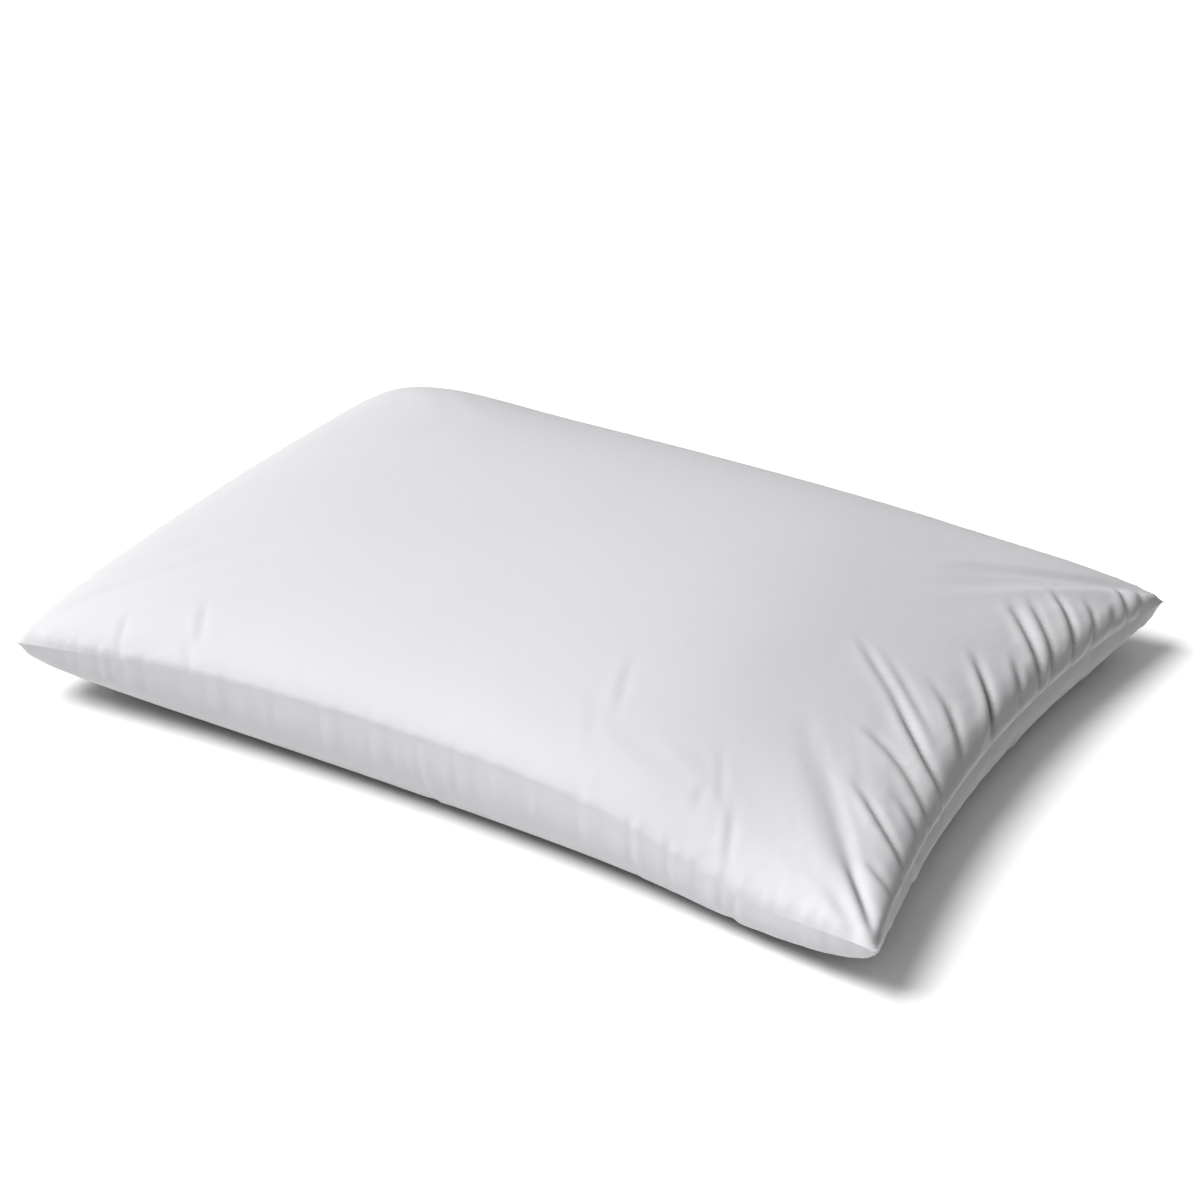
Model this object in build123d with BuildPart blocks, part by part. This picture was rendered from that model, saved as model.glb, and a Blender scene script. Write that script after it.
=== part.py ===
"""A filled bed pillow, lying flat on its lower panel, with a 500 by 700 mm casing.

Two panels of white ticking meet at a knife-edge seam that runs round the pillow at one height.
Inside, each panel turns in as a seam allowance; a lockstitch (a needle thread above and a bobbin
thread below) joins the two allowances, and an overlock thread wraps their raw edges. The fibre was
blown in through the left end, whose opening is topstitched shut along a small flat lip. A folded
blank care label is caught in the seam beside that lip.

Millimetres, +Z up, +X along the length; the origin is on the floor, under the middle of the pillow.
"""

import math
import os

from build123d import *

# The filled shape
LENGTH = 680.0  # corner tip to corner tip, along X
WIDTH = 490.0  # corner tip to corner tip, along Y
HEIGHT = 120.0  # top of the crown above the floor
SEAM_HEIGHT = 50.0  # the knife-edge seam above the floor
END_PULL = 26.0  # how far the fill draws in the middle of each short end
SIDE_PULL = 22.0  # how far it draws in the middle of each long side
CORNER_RADIUS = 10.0  # plan radius of the corner tips at the seam
CORNER_GROWTH = 120.0  # how much rounder the corners are at the crown and at the floor
CORNER_LIMIT = 0.85  # the most that a corner radius may be, as a share of the plan's half width

# Its upright section: a quarter of a superellipse above the seam and another below it.
# Each has its reach in from the seam, its exponent (2 is an ellipse), the bow of the plan's sides
# where it ends (1 is pulled in as at the seam, below 0 bulges out) and its number of steps.
CROWN_FLAT = 140.0  # width of the level top, which sets the reach of the part above the seam
CROWN_SQUARENESS = 2.5
CROWN_BOW = -0.6
CROWN_STEPS = 14
BASE_REACH = 75.0
BASE_SQUARENESS = 2.2
BASE_BOW = 0.3
BASE_STEPS = 10
STEP_CROWDING = 1.15  # above 1, the steps lie closer together towards the level part
CROWN_REACH = (WIDTH - CROWN_FLAT) / 2

# Cloth, thread and seams
TICKING = 0.8  # thickness of a panel
FILL_GAP = 0.3  # between the fibre and what it lies against
SEAM_ALLOWANCE = 10.0  # how far each panel turns in past the seam
THREAD = 0.5  # thickness of the sewing thread
STITCH_INSET = 1.6  # the lockstitch row, in from the inner face of the panels
OVERLOCK_WIDTH = 5.0  # how far the overlock thread reaches over the allowances

# The closing seam, at the left end
CLOSING_TO_LABEL = 20.0  # the closing seam ends this far short of the label, at both its ends
LIP = 6.0  # how far the stitched lip stands out of the seam
LIP_STITCH = 3.5  # the topstitch row, out from the seam
STITCH_LENGTH = 2.6
STITCH_PITCH = 3.4

# The care label: a loop of ribbon, pressed flat
LABEL_WIDTH = 30.0
LABEL_THICKNESS = 0.5
LABEL_FROM_CORNER = 80.0  # the label's middle, along the left end from the back corner
LABEL_HELD = 6.0  # length caught in the seam
LABEL_OUT = 3.0  # level length outside the seam, before it bends down
LABEL_BEND = 5.0  # radius of the bend at the middle of its thickness
LABEL_HANG = 30.0  # straight length below the bend
LABEL_CLEARANCE = 0.2  # at each side of the label, in its slot
LABEL_CENTRE = WIDTH / 2 - LABEL_FROM_CORNER
CLOSING_LENGTH = 2 * (LABEL_CENTRE - LABEL_WIDTH / 2 - CLOSING_TO_LABEL)


def outline(height, inset=0.0, bow=1.0, growth=0.0):
    """The pillow's plan at one height: a rectangle with bowed sides, drawn in by inset."""
    half_x = LENGTH / 2 - inset
    half_y = WIDTH / 2 - inset
    end = half_x - bow * END_PULL
    side = half_y - bow * SIDE_PULL
    radius = min(CORNER_RADIUS + growth, CORNER_LIMIT * half_y)
    with BuildSketch(Plane.XY.offset(height), mode=Mode.PRIVATE) as plan:
        with BuildLine():
            ThreePointArc((-half_x, -half_y), (0, -side), (half_x, -half_y))
            ThreePointArc((half_x, -half_y), (end, 0), (half_x, half_y))
            ThreePointArc((half_x, half_y), (0, side), (-half_x, half_y))
            ThreePointArc((-half_x, half_y), (-end, 0), (-half_x, -half_y))
        make_face()
        fillet(plan.vertices(), radius)
    return plan.sketch


def half_form(skin, travel, reach, squareness, last_bow, steps):
    """The filled shape on one side of the seam, taken in by skin; travel is up, or down if negative."""
    plans = []
    for step in range(steps + 1):
        angle = math.pi / 2 * (1 - (1 - step / steps) ** STEP_CROWDING)
        rise = math.sin(angle) ** (2 / squareness)
        inward = 1 - abs(math.cos(angle)) ** (2 / squareness)
        plans.append(
            outline(
                SEAM_HEIGHT + rise * travel,
                skin + inward * reach,
                1 + inward * (last_bow - 1),
                rise * CORNER_GROWTH,
            )
        )
    with BuildPart(mode=Mode.PRIVATE) as form:
        loft(plans, ruled=True)
    return form.part


def crown_form(skin=0.0):
    """The filled shape above the seam; its top is level."""
    travel = HEIGHT - SEAM_HEIGHT - skin
    return half_form(skin, travel, CROWN_REACH, CROWN_SQUARENESS, CROWN_BOW, CROWN_STEPS)


def base_form(skin=0.0):
    """The filled shape below the seam; its underside is level."""
    travel = skin - SEAM_HEIGHT
    return half_form(skin, travel, BASE_REACH, BASE_SQUARENESS, BASE_BOW, BASE_STEPS)


def seam_band(outer_inset, inner_inset, low, high):
    """A level band that follows the seam, between two insets and two heights."""
    with BuildPart(mode=Mode.PRIVATE) as band:
        extrude(outline(low, outer_inset), amount=high - low)
        extrude(outline(low, inner_inset), amount=high - low, mode=Mode.SUBTRACT)
    return band.part


def end_x(y, inset=0.0):
    """Where the seam at the left end lies at y: it follows the arc of outline()."""
    half_y = WIDTH / 2 - inset
    radius = (half_y**2 + END_PULL**2) / (2 * END_PULL)
    return -LENGTH / 2 + inset + END_PULL - radius + math.sqrt(radius**2 - y**2)


def lip_layer(low, high):
    """One layer of the closing lip, which stands out of the seam at the left end."""
    reach = END_PULL + 2 * LIP
    with BuildPart(mode=Mode.PRIVATE) as layer:
        add(seam_band(-LIP, TICKING / 2, low, high))
        with BuildSketch(Plane.XY.offset(low)):
            with Locations((-LENGTH / 2 - LIP + reach / 2, 0)):
                Rectangle(reach, CLOSING_LENGTH)
        extrude(amount=high - low, mode=Mode.INTERSECT)
    return layer.part


def label_slot():
    """The room that the label needs where it passes between the two panels."""
    root = end_x(LABEL_CENTRE) + LABEL_HELD
    width = LABEL_WIDTH + 2 * LABEL_CLEARANCE
    depth = LABEL_HELD + 2 * LABEL_OUT + LABEL_CLEARANCE
    with BuildPart(mode=Mode.PRIVATE) as slot:
        with Locations((root + LABEL_CLEARANCE, LABEL_CENTRE, SEAM_HEIGHT)):
            Box(depth, width, LABEL_THICKNESS, align=(Align.MAX, Align.CENTER, Align.MAX))
    return slot.part


def closing_stitches(height):
    """A row of stitches along the lip, each lying on the cloth at one height."""
    half_y = WIDTH / 2
    radius = (half_y**2 + END_PULL**2) / (2 * END_PULL)
    row = radius - LIP_STITCH
    count = int(CLOSING_LENGTH / STITCH_PITCH)
    turn = math.degrees(STITCH_PITCH / row)
    centre_x = end_x(0) - radius
    with BuildPart(mode=Mode.PRIVATE) as stitches:
        with BuildSketch(Plane.XY.offset(height)):
            with Locations((centre_x, 0)):
                with PolarLocations(row, count, -turn * (count - 1) / 2, turn * (count - 1), endpoint=True):
                    SlotOverall(STITCH_LENGTH, THREAD, rotation=90)
        extrude(amount=THREAD)
    return stitches.part


def seam_thread(low):
    """A thread along the lockstitch row round the pillow, but not past the closing lip."""
    row = TICKING + STITCH_INSET
    with BuildPart(mode=Mode.PRIVATE) as thread:
        add(seam_band(row, row + THREAD, low, low + THREAD))
        with Locations((end_x(0), 0, low)):
            Box(2 * END_PULL, CLOSING_LENGTH, 4 * THREAD, mode=Mode.SUBTRACT)
    return thread.part


# The upper panel: crowned ticking, its turned-in allowance and its layer of the closing lip
with BuildPart() as upper_panel:
    add(crown_form())
    add(crown_form(TICKING), mode=Mode.SUBTRACT)
    add(seam_band(TICKING / 2, TICKING + SEAM_ALLOWANCE, SEAM_HEIGHT, SEAM_HEIGHT + TICKING))
    add(lip_layer(SEAM_HEIGHT, SEAM_HEIGHT + TICKING))

# The lower panel: the same below the seam, level where it lies on the bed
with BuildPart() as lower_panel:
    add(base_form())
    add(base_form(TICKING), mode=Mode.SUBTRACT)
    add(seam_band(TICKING / 2, TICKING + SEAM_ALLOWANCE, SEAM_HEIGHT - TICKING, SEAM_HEIGHT))
    add(lip_layer(SEAM_HEIGHT - TICKING, SEAM_HEIGHT))
    add(label_slot(), mode=Mode.SUBTRACT)

# The fibre fill: it fills the casing and lies round the seam allowances
with BuildPart() as fibre_fill:
    add(crown_form(TICKING + FILL_GAP))
    add(base_form(TICKING + FILL_GAP))
    room = TICKING + THREAD + FILL_GAP
    groove = seam_band(0, SEAM_ALLOWANCE + room, SEAM_HEIGHT - room, SEAM_HEIGHT + room)
    add(groove, mode=Mode.SUBTRACT)

# The lockstitch: needle thread on the upper allowance, bobbin thread under the lower one
with BuildPart() as seam_needle_thread:
    add(seam_thread(SEAM_HEIGHT + TICKING))

with BuildPart() as seam_bobbin_thread:
    add(seam_thread(SEAM_HEIGHT - TICKING - THREAD))

# The overlock thread: it wraps the raw edges of both allowances
with BuildPart() as overlock_thread:
    raw_edge = TICKING + SEAM_ALLOWANCE
    low = SEAM_HEIGHT - TICKING
    high = SEAM_HEIGHT + TICKING
    add(seam_band(raw_edge - OVERLOCK_WIDTH, raw_edge + THREAD, low - THREAD, high + THREAD))
    add(seam_band(raw_edge - 2 * OVERLOCK_WIDTH, raw_edge, low, high), mode=Mode.SUBTRACT)

# The closing seam: a row of topstitches on each face of the lip
with BuildPart() as closing_needle_thread:
    add(closing_stitches(SEAM_HEIGHT + TICKING))

with BuildPart() as closing_bobbin_thread:
    add(closing_stitches(SEAM_HEIGHT - TICKING - THREAD))

# The care label: level in its slot, bent down outside the seam
with BuildPart() as care_label:
    label_mid = SEAM_HEIGHT - LABEL_THICKNESS / 2
    root_x = end_x(LABEL_CENTRE) + LABEL_HELD
    bend_x = end_x(LABEL_CENTRE) - LABEL_OUT
    with BuildSketch(Plane.XZ.offset(-LABEL_CENTRE)):
        with BuildLine() as ribbon:
            Line((root_x, label_mid), (bend_x, label_mid))
            RadiusArc(
                (bend_x, label_mid), (bend_x - LABEL_BEND, label_mid - LABEL_BEND), -LABEL_BEND
            )
            Line(
                (bend_x - LABEL_BEND, label_mid - LABEL_BEND),
                (bend_x - LABEL_BEND, label_mid - LABEL_BEND - LABEL_HANG),
            )
        trace(line_width=LABEL_THICKNESS)
    extrude(amount=LABEL_WIDTH / 2, both=True)

os.makedirs("parts", exist_ok=True)
for name, piece in (
    ("upper_panel", upper_panel),
    ("lower_panel", lower_panel),
    ("fibre_fill", fibre_fill),
    ("seam_needle_thread", seam_needle_thread),
    ("seam_bobbin_thread", seam_bobbin_thread),
    ("overlock_thread", overlock_thread),
    ("closing_needle_thread", closing_needle_thread),
    ("closing_bobbin_thread", closing_bobbin_thread),
    ("care_label", care_label),
):
    piece.part.label = name
    export_step(piece.part, f"parts/{name}.step")
    print(f"{name}: {len(piece.part.solids())} solids, {piece.part.volume / 1000:.1f} cm3")
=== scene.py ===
# %% [markdown]
# # A bed pillow
# A bed pillow is a flat bag of closely woven ticking, 500 by 700 mm, that is filled with fibre
# until it is plump. Two panels, an upper and a lower one, are sewn together all round. The fill
# draws the sides in, the corners stay flat and pointed, and spare cloth gathers into fine creases
# at the seam. The lesson builds the casing as one mesh, lets Blender's cloth solver settle it, and
# then cuts it into its two panels and adds the fill, the threads and the label.

# %% Tools and the CAD frame
import math

import bmesh
import bpy
import numpy as np
from mathutils import Matrix, Vector, noise


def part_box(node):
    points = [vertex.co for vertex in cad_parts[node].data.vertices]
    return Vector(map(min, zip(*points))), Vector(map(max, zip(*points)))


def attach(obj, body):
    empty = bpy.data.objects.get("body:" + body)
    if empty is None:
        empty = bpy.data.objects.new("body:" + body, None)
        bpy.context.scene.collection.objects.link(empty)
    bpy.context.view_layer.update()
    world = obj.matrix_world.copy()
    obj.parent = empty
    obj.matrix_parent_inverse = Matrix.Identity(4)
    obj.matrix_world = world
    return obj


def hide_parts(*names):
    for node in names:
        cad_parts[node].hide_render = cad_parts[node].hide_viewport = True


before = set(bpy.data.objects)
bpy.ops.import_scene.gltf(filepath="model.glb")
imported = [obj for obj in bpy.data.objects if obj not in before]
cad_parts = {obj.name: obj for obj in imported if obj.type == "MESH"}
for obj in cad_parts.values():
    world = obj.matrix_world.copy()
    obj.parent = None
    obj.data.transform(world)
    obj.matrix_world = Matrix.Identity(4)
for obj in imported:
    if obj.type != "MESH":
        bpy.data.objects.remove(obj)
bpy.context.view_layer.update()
BODY = "root"

# %% [markdown]
# ## Sizes
# The CAD model says where the seam is and how far the corners reach, so those are read from its
# boxes. The rest are the small habits of a real pillow that the CAD model leaves out. The seam
# droops at the corners, rises between them and dips before the front right one. Each side draws in
# by its own amount, its PULL. FULL_ALONG and FULL_ACROSS say how boxy the two sections are: the
# smaller the number, the more upright the cloth is at the seam. The casing is fuller by PUFF near
# the back left corner and flatter by END_EASE before the right end. SINK is how far the form would
# reach below the floor if nothing pressed it flat. Places along and across are given as shares: -1
# and 1 are the seams, and 0 is the middle.

# %% The pillow's sizes
UPPER_LOW, UPPER_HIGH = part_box("upper_panel")
TIPS_OUT_X, TIPS_OUT_Y = 0.0025, 0.0019
HALF_LENGTH = (UPPER_HIGH[0] - UPPER_LOW[0]) / 2 + TIPS_OUT_X
HALF_WIDTH = (UPPER_HIGH[1] - UPPER_LOW[1]) / 2 + TIPS_OUT_Y
CAD_WALL = 0.0008
SEAM_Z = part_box("lower_panel")[1][2] - CAD_WALL
CUT_LENGTH = 0.70
CUT_WIDTH = 0.50
CROWN_Z = 0.1173

END_PULL_RIGHT = 0.0290
END_PULL_LEFT = 0.0151
SIDE_PULL_FRONT = 0.0199
SIDE_PULL_BACK = 0.0215
CORNER_SEAM_Z = {(-1, -1): 0.046, (1, -1): 0.044, (1, 1): 0.038, (-1, 1): 0.038}
SEAM_RISE_ALONG = 0.0188
SEAM_RISE_LEFT = 0.0199
SEAM_RISE_RIGHT = 0.0020
SEAM_DIP, DIP_AT, DIP_WIDTH = 0.0170, 0.72, 0.24
FULL_ALONG = 0.64
FULL_ACROSS = 0.94
PUFF, PUFF_AT, PUFF_SIZE = 0.19, (-0.80, 0.80), (0.22, 0.25)
END_EASE, EASE_AT, EASE_WIDTH = 0.24, 0.85, 0.30
UNDER_FULLNESS = 0.59
SINK = 0.039
print("half length:", round(HALF_LENGTH, 4), "half width:", round(HALF_WIDTH, 4))
print("height of the seam:", round(SEAM_Z, 4))


# %% [markdown]
# ## The shape of a full casing
# Seen from above, each side is a shallow bow between two corner tips. Seen from the end, the cloth
# leaves the seam almost upright and then rolls over into a wide, low crown. The two are multiplied,
# so the crown dies away towards both ends and both sides, and the corners come out flat.
#
# The mesh is a grid whose lines stand for the threads of the flat cloth. `roll_over` finds where a
# thread mark ends up on the rounded section, so that the cells stay nearly as long as they were
# when the cloth lay flat, even on the upright part.

# %% From flat cloth to full casing
SECTION_STEPS = 240
EDGE_CROWDING = 0.8


def thread_marks(fine_low, fine_high, border_low, border_high, middle, half):
    """Grid lines from -half to half: fine_low and fine_high cells in the borders, fewer between."""
    low = np.linspace(-half, -half + border_low, fine_low + 1)
    mid = np.linspace(-half + border_low, half - border_high, middle + 1)
    high = np.linspace(half - border_high, half, fine_high + 1)
    return np.concatenate([low, mid[1:-1], high])


def spot(share, centre, width):
    """A soft spot: 1 at the centre, dying away over the width."""
    return np.exp(-(((share - centre) / width) ** 2))


def bulge(share, fullness):
    """The height of a rounded section: 1 in the middle of the cloth and 0 at its edge."""
    return np.sqrt(np.clip(1 - share**2, 0, 1)) ** fullness


def roll_over(mark, half, rise, fullness):
    """Where a thread mark (0 to 1) lies across a section with that half width and rise."""
    dense = np.sin(np.linspace(0, math.pi / 2, SECTION_STEPS)) ** EDGE_CROWDING
    height = rise * bulge(dense, fullness)
    length = np.concatenate([[0], np.cumsum(np.hypot(half * np.diff(dense), np.diff(height)))])
    return np.interp(mark, length / length[-1], dense)


def casing_points(p, q, side):
    """Where the cloth at (p, q), in metres on the flat panel, lies on the filled casing.

    side is 1 on the upper panel, -1 on the lower one and 0 on the seam."""
    a = np.abs(p) / (CUT_LENGTH / 2)
    b = np.abs(q) / (CUT_WIDTH / 2)
    rise = CROWN_Z - SEAM_Z
    a_list, a_at = np.unique(np.round(a, 5), return_inverse=True)
    b_list, b_at = np.unique(np.round(b, 5), return_inverse=True)
    u_mid = roll_over(a_list, HALF_LENGTH, rise, FULL_ALONG)
    v_mid = roll_over(b_list, HALF_WIDTH, rise, FULL_ACROSS)
    rises_along = rise * bulge(v_mid, FULL_ACROSS)
    rises_across = rise * bulge(u_mid, FULL_ALONG)
    u_grid = np.array([roll_over(a_list, HALF_LENGTH, r, FULL_ALONG) for r in rises_along])
    v_grid = np.array([roll_over(b_list, HALF_WIDTH, r, FULL_ACROSS) for r in rises_across])
    u = np.sign(p) * u_grid[b_at, a_at]
    v = np.sign(q) * v_grid[a_at, b_at]
    end_pull = np.where(u > 0, END_PULL_RIGHT, END_PULL_LEFT)
    side_pull = np.where(v < 0, SIDE_PULL_FRONT, SIDE_PULL_BACK)
    x = u * (HALF_LENGTH - end_pull * (1 - v**2))
    y = v * (HALF_WIDTH - side_pull * (1 - u**2))
    across = np.where(u > 0, SEAM_RISE_RIGHT, SEAM_RISE_LEFT)
    seam = SEAM_RISE_ALONG * (1 - u**2) + across * (1 - v**2) * np.abs(u) ** 3
    seam -= SEAM_DIP * spot(u, DIP_AT, DIP_WIDTH) * np.clip(-v, 0, 1) ** 2
    for (end, flank), height in CORNER_SEAM_Z.items():
        seam = seam + height * (1 + end * u) / 2 * (1 + flank * v) / 2
    puffed = PUFF * spot(u, PUFF_AT[0], PUFF_SIZE[0]) * spot(v, PUFF_AT[1], PUFF_SIZE[1])
    eased = END_EASE * spot(u, EASE_AT, EASE_WIDTH) * (1 - v**4)
    top = (CROWN_Z - seam) * bulge(u, FULL_ALONG) * bulge(v, FULL_ACROSS) * (1 + puffed - eased)
    under = -(seam + SINK) * (bulge(u, 1) * bulge(v, 1)) ** UNDER_FULLNESS
    z = seam + np.where(side > 0, top, np.where(side < 0, under, 0))
    return np.stack([x, y, z], axis=1)


# %% [markdown]
# ## One grid, doubled
# A casing is a closed bag, so its mesh has to be closed too. One grid is made with
# `bmesh.ops.create_grid`, its lines are moved so that they lie closest near the seam, where the
# creases will be, and a copy of it becomes the lower panel. Merging the doubles along the rim sews
# the two together. The flat position of each point is kept as a UV map: it is the cutting
# pattern, and the weave will follow it.

# %% The casing's grid
RIGHT_CELLS, LEFT_CELLS, LENGTH_CELLS = 46, 24, 58
SIDE_CELLS, WIDTH_CELLS = 22, 40
LEFT_BORDER, RIGHT_BORDER, SIDE_BORDER = 0.11, 0.19, 0.11
UPPER, LOWER = 0, 1
ON_RIM = 1e-5
marks_x = thread_marks(
    LEFT_CELLS, RIGHT_CELLS, LEFT_BORDER, RIGHT_BORDER, LENGTH_CELLS, CUT_LENGTH / 2
)
marks_y = thread_marks(
    SIDE_CELLS, SIDE_CELLS, SIDE_BORDER, SIDE_BORDER, WIDTH_CELLS, CUT_WIDTH / 2
)


def to_seams(p, q):
    """How far the place (p, q) on the flat panel is from the nearer end and the nearer side."""
    return CUT_LENGTH / 2 - np.abs(p), CUT_WIDTH / 2 - np.abs(q)


def sewn_casing():
    """The flat casing: two grids joined at the rim, with side 1, 0 or -1 stored in z."""
    bm = bmesh.new()
    columns, rows = len(marks_x) - 1, len(marks_y) - 1
    bmesh.ops.create_grid(bm, x_segments=columns, y_segments=rows, size=0.5)
    for v in bm.verts:
        v.co.x = marks_x[round((v.co.x + 0.5) * columns)]
        v.co.y = marks_y[round((v.co.y + 0.5) * rows)]
    copy = bmesh.ops.duplicate(bm, geom=bm.verts[:] + bm.edges[:] + bm.faces[:])["geom"]
    under = {g for g in copy if isinstance(g, bmesh.types.BMVert)}
    bmesh.ops.reverse_faces(bm, faces=[g for g in copy if isinstance(g, bmesh.types.BMFace)])
    for v in bm.verts:
        on_rim = min(to_seams(v.co.x, v.co.y)) < ON_RIM
        v.co.z = 0 if on_rim else (-1 if v in under else 1)
    bmesh.ops.remove_doubles(bm, verts=bm.verts[:], dist=ON_RIM)
    pattern = bm.loops.layers.uv.new("pattern")
    sharp = bm.edges.layers.float.new("crease_edge")
    for edge in bm.edges:
        edge[sharp] = float(all(v.co.z == 0 for v in edge.verts))
    for face in bm.faces:
        face.material_index = UPPER if sum(v.co.z for v in face.verts) > 0 else LOWER
        for loop in face.loops:
            loop[pattern].uv = (loop.vert.co.x, loop.vert.co.y)
    mesh = bpy.data.meshes.new("casing")
    bm.to_mesh(mesh)
    bm.free()
    return mesh


def read_points(mesh):
    """The mesh's points as an array of rows."""
    flat = np.empty(len(mesh.vertices) * 3, dtype=np.float32)
    mesh.vertices.foreach_get("co", flat)
    return flat.reshape(-1, 3).astype(np.float64)


def write_points(mesh, points):
    """Puts the rows back into the mesh."""
    mesh.vertices.foreach_set("co", points.astype(np.float32).ravel())
    mesh.update()


casing_mesh = sewn_casing()
cloth = read_points(casing_mesh)
P, Q, SIDE = cloth[:, 0], cloth[:, 1], np.sign(np.round(cloth[:, 2]))
full = casing_points(P, Q, SIDE)
print("casing:", len(cloth), "points,", len(casing_mesh.polygons), "faces")

# %% [markdown]
# ## Where the cloth creases
# The seam thread is a little shorter than the cloth it holds, so the cloth beside the seam is too
# long for its place and buckles into creases that run in from the seam. They are longest and
# closest at the right end, where they slant towards the front corner. Each crease is given by its
# depth and by the marks that it passes on the flat panel, in millimetres from the panel's middle.
# Short ones at random places are added for the sides that have no long ones.

# %% Crease lines on the flat panels
UPPER_CREASES = (
    (1.5, (210, 0), (255, -35), (290, -60)),
    (1.3, (230, 0), (270, -30), (300, -55), (322, -72)),
    (3.2, (255, -35), (290, -65), (320, -90), (350, -100)),
    (1.4, (270, -5), (295, -20), (310, -35), (335, -60)),
    (1.6, (290, -10), (315, -35), (345, -68)),
    (2.8, (280, 50), (305, 25), (330, 2), (350, -15)),
    (1.4, (300, 30), (325, 5), (348, -28)),
    (1.8, (305, 70), (325, 50), (350, 32)),
    (1.2, (320, 72), (350, 50)),
    (2.8, (270, 125), (305, 97), (330, 77), (350, 64)),
    (2.4, (278, 142), (310, 115), (335, 95), (350, 80)),
    (2.6, (285, 168), (320, 142), (350, 112)),
    (1.6, (312, 178), (335, 160), (350, 140)),
    (1.4, (330, 195), (350, 170)),
    (2.0, (318, 222), (335, 207), (350, 196)),
    (1.8, (332, 236), (350, 215)),
    (2.0, (245, -82), (275, -90), (300, -100), (325, -118), (348, -130)),
    (2.0, (270, -130), (300, -150), (325, -168), (350, -182)),
    (1.2, (300, -122), (330, -140), (350, -150)),
    (1.6, (310, -190), (330, -200), (350, -206)),
    (2.4, (300, -195), (325, -220), (350, -246)),
    (1.8, (298, -224), (318, -234), (338, -250)),
    (0.8, (-265, -210), (-260, -230), (-258, -250)),
    (1.0, (-216, -180), (-203, -205), (-192, -232)),
    (0.7, (-210, -215), (-200, -235), (-195, -250)),
    (0.7, (98, -112), (110, -148), (124, -190)),
    (0.3, (90, -160), (108, -190), (124, -222)),
    (0.3, (126, -206), (135, -230), (142, -250)),
    (0.4, (190, -158), (205, -185), (219, -214)),
    (0.6, (218, -194), (230, -220), (240, -250)),
    (0.3, (198, -190), (202, -226)),
    (0.3, (215, -222), (230, -250)),
    (0.3, (117, -234), (124, -250)),
)
LOWER_CREASES = (
    (1.0, (-6, -250), (-2, -228), (-8, -200)),
    (0.8, (-205, -250), (-196, -225)),
    (0.6, (40, -250), (46, -228)),
    (0.4, (168, -250), (162, -226), (154, -205)),
    (0.8, (246, -250), (236, -228), (222, -208)),
    (2.4, (350, -246), (322, -226), (296, -204)),
    (2.0, (350, -160), (322, -146)),
    (1.8, (350, 40), (320, 34)),
    (1.8, (350, 150), (318, 140)),
)


def stray_creases(count, seed, end_share):
    """Short creases at random places along the seams, for the sides that have no long ones."""
    rng = np.random.default_rng(seed)
    found = []
    for _ in range(count):
        depth = rng.uniform(0.5, 1.3)
        reach = rng.uniform(10, 34)
        slant = rng.uniform(-0.5, 0.5)
        if rng.random() < end_share:
            q = rng.uniform(-205, 160)
            found.append((depth, (-350, q), (-350 + reach, q + slant * reach)))
        else:
            p = rng.uniform(-250, 310)
            found.append((depth, (p, 250), (p + slant * reach, 250 - reach)))
    return tuple(found)


all_upper = UPPER_CREASES + stray_creases(34, 5, 0.45)
all_lower = LOWER_CREASES + stray_creases(30, 6, 0.45)
print("creases:", len(all_upper), "above,", len(all_lower), "below")


# %% [markdown]
# ## From crease lines to heights
# A crease is a narrow valley with a soft ridge on one side. The marks of its line are rounded off
# first, so that it curves. Then each point of the cloth looks for the nearest place on the line:
# its distance across the line says how far up the valley or the ridge it is, and its distance along
# the line says how deep the crease still is there. A crease dies out at an end that lies on open
# cloth, and every crease grows shallower over the last 22 mm before the seam. The ridge is given
# in shares of the valley's depth and width.

# %% The height of the creases
CREASE_WIDTH = 0.0030
RIDGE_HEIGHT, RIDGE_OFF, RIDGE_WIDTH = 0.55, 2.0, 1.3
TAPER_SHARE = 0.45
SEAM_SHARE, SEAM_FADE = 0.35, 0.022
MEETS_SEAM = 0.004


def rounded_path(marks):
    """The marks in metres, with the corners of the line between them cut off twice."""
    path = np.array(marks, dtype=float) / 1000
    for _ in range(2):
        near, far = path[:-1], path[1:]
        cut = np.stack([0.75 * near + 0.25 * far, 0.25 * near + 0.75 * far], axis=1).reshape(-1, 2)
        path = np.concatenate([path[:1], cut, path[-1:]])
    return path


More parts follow.
